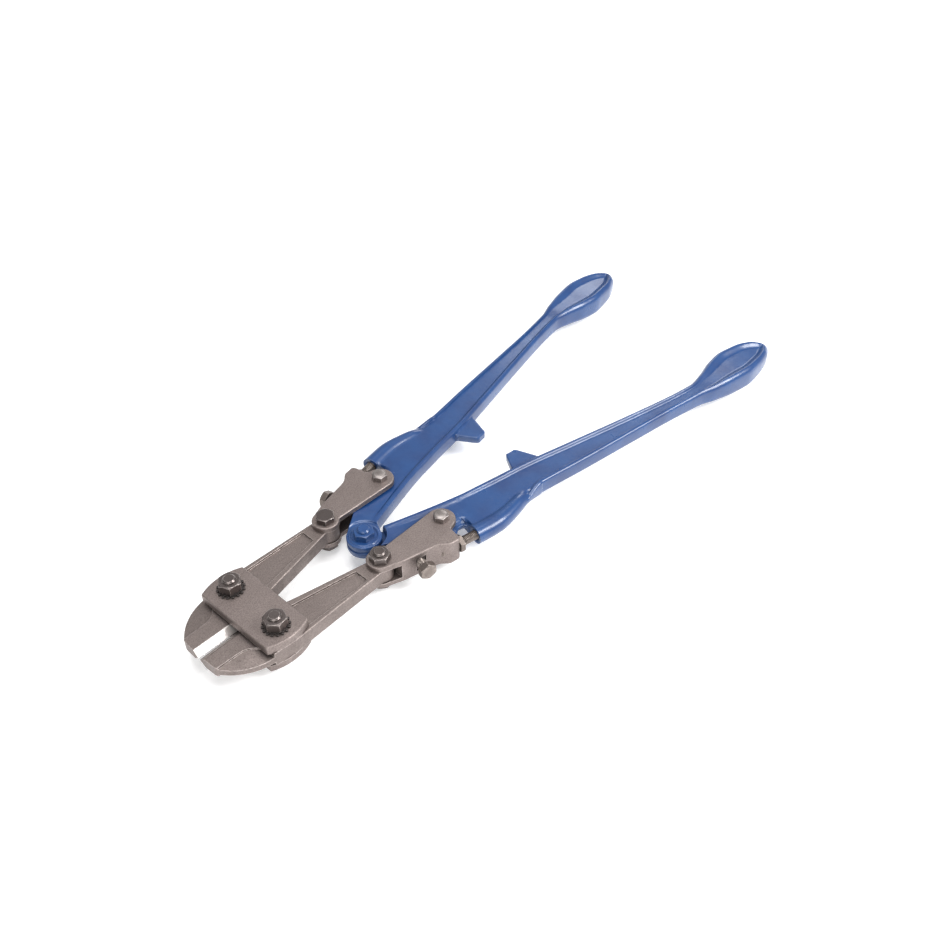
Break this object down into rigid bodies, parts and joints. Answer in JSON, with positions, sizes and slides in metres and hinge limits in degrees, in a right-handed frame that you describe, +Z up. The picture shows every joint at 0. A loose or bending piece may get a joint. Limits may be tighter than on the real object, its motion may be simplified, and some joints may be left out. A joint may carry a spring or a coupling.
{
  "type": "bolt cutters",
  "caption": "Long-handled bolt cutters with forged jaws, bolted side plates, adjustable arms and blue enamelled handles with spoon-shaped grips.",
  "frame": {"origin": "centre of the bounding box at its base, as the tool lies flat with the jaws open 0.9 degrees each", "axes": "+X towards the nose of the jaws, +Y to the tool's left, +Z up along the pivot bolts"},
  "size_m": [0.5974, 0.22, 0.044],
  "materials": {
    "forged_steel": "satin, fine forging grain",
    "fastener_steel": "satin, dark",
    "blackened_steel": "black oxide",
    "blue_enamel": "gloss enamel"
  },
  "bodies": {
    "head": {"top_side_plate": "forged_steel", "bottom_side_plate": "forged_steel", "left_jaw_bolt": "fastener_steel", "left_jaw_lock_washer": "blackened_steel", "left_jaw_nut": "fastener_steel", "right_jaw_bolt": "fastener_steel", "right_jaw_lock_washer": "blackened_steel", "right_jaw_nut": "fastener_steel"},
    "left_jaw_body": {"left_jaw": "forged_steel"},
    "left_arm_body": {"left_arm": "forged_steel", "left_arm_bolt": "fastener_steel", "left_arm_nut": "fastener_steel", "left_handle_pin": "fastener_steel", "left_handle_pin_nut": "fastener_steel"},
    "left_handle_body": {"left_handle": "blue_enamel"},
    "left_adjusting_screw_body": {"left_adjusting_screw": "fastener_steel"},
    "left_lock_screw_body": {"left_lock_screw": "fastener_steel"},
    "right_jaw_body": {"right_jaw": "forged_steel"},
    "right_arm_body": {"right_arm": "forged_steel", "right_arm_bolt": "fastener_steel", "right_arm_nut": "fastener_steel", "right_handle_pin": "fastener_steel", "right_handle_pin_nut": "fastener_steel"},
    "right_handle_body": {"right_handle": "blue_enamel", "centre_bolt": "blue_enamel", "centre_nut": "blue_enamel", "centre_spacer_washer": "blue_enamel", "centre_lower_washer": "blue_enamel"},
    "right_adjusting_screw_body": {"right_adjusting_screw": "fastener_steel"},
    "right_lock_screw_body": {"right_lock_screw": "fastener_steel"}
  },
  "joints": [
    {"name": "left_jaw_hinge", "type": "hinge", "parent": "head", "child": "left_jaw_body", "pos_m": [0.24779, 0.026, 0.01945], "axis": [0, 0, 1], "range_deg": [-0.95, 4]},
    {"name": "left_arm_hinge", "type": "hinge", "parent": "left_jaw_body", "child": "left_arm_body", "pos_m": [0.15079, 0.0313, 0.01945], "axis": [0, 0, -1], "range_deg": [-6.45, 26]},
    {"name": "left_adjustment", "type": "hinge", "parent": "left_arm_body", "child": "left_handle_body", "pos_m": [0.08809, 0.0352, 0.01945], "axis": [0, 0, -1], "range_deg": [-0.5, 0.5]},
    {"name": "left_adjusting_screw_turn", "type": "hinge", "parent": "left_arm_body", "child": "left_adjusting_screw_body", "pos_m": [0.0926, 0.05675, 0.01945], "axis": [-0.9803, 0.1977, 0], "range_deg": [-60, 60]},
    {"name": "left_lock_screw_turn", "type": "hinge", "parent": "left_arm_body", "child": "left_lock_screw_body", "pos_m": [0.1257, 0.04989, 0.01945], "axis": [0.2345, 0.9721, 0], "range_deg": [0, 90]},
    {"name": "right_jaw_hinge", "type": "hinge", "parent": "head", "child": "right_jaw_body", "pos_m": [0.24779, -0.026, 0.01945], "axis": [0, 0, -1], "range_deg": [-0.95, 4]},
    {"name": "right_arm_hinge", "type": "hinge", "parent": "right_jaw_body", "child": "right_arm_body", "pos_m": [0.15079, -0.0313, 0.01945], "axis": [0, 0, 1], "range_deg": [-6.45, 26]},
    {"name": "right_adjustment", "type": "hinge", "parent": "right_arm_body", "child": "right_handle_body", "pos_m": [0.08809, -0.0352, 0.01945], "axis": [0, 0, 1], "range_deg": [-0.5, 0.5]},
    {"name": "right_adjusting_screw_turn", "type": "hinge", "parent": "right_arm_body", "child": "right_adjusting_screw_body", "pos_m": [0.0926, -0.05675, 0.01945], "axis": [-0.9803, -0.1977, 0], "range_deg": [-60, 60]},
    {"name": "right_lock_screw_turn", "type": "hinge", "parent": "right_arm_body", "child": "right_lock_screw_body", "pos_m": [0.1257, -0.04989, 0.01945], "axis": [0.2345, -0.9721, 0], "range_deg": [0, 90]}
  ],
  "couplings": [
    {"joint": "left_jaw_hinge", "follows": "left_arm_hinge", "ratio": 0.14},
    {"joint": "right_jaw_hinge", "follows": "left_arm_hinge", "ratio": 0.14},
    {"joint": "right_arm_hinge", "follows": "left_arm_hinge", "ratio": 1},
    {"joint": "left_adjusting_screw_turn", "follows": "left_adjustment", "ratio": 110.6},
    {"joint": "right_adjusting_screw_turn", "follows": "right_adjustment", "ratio": 110.6}
  ]
}
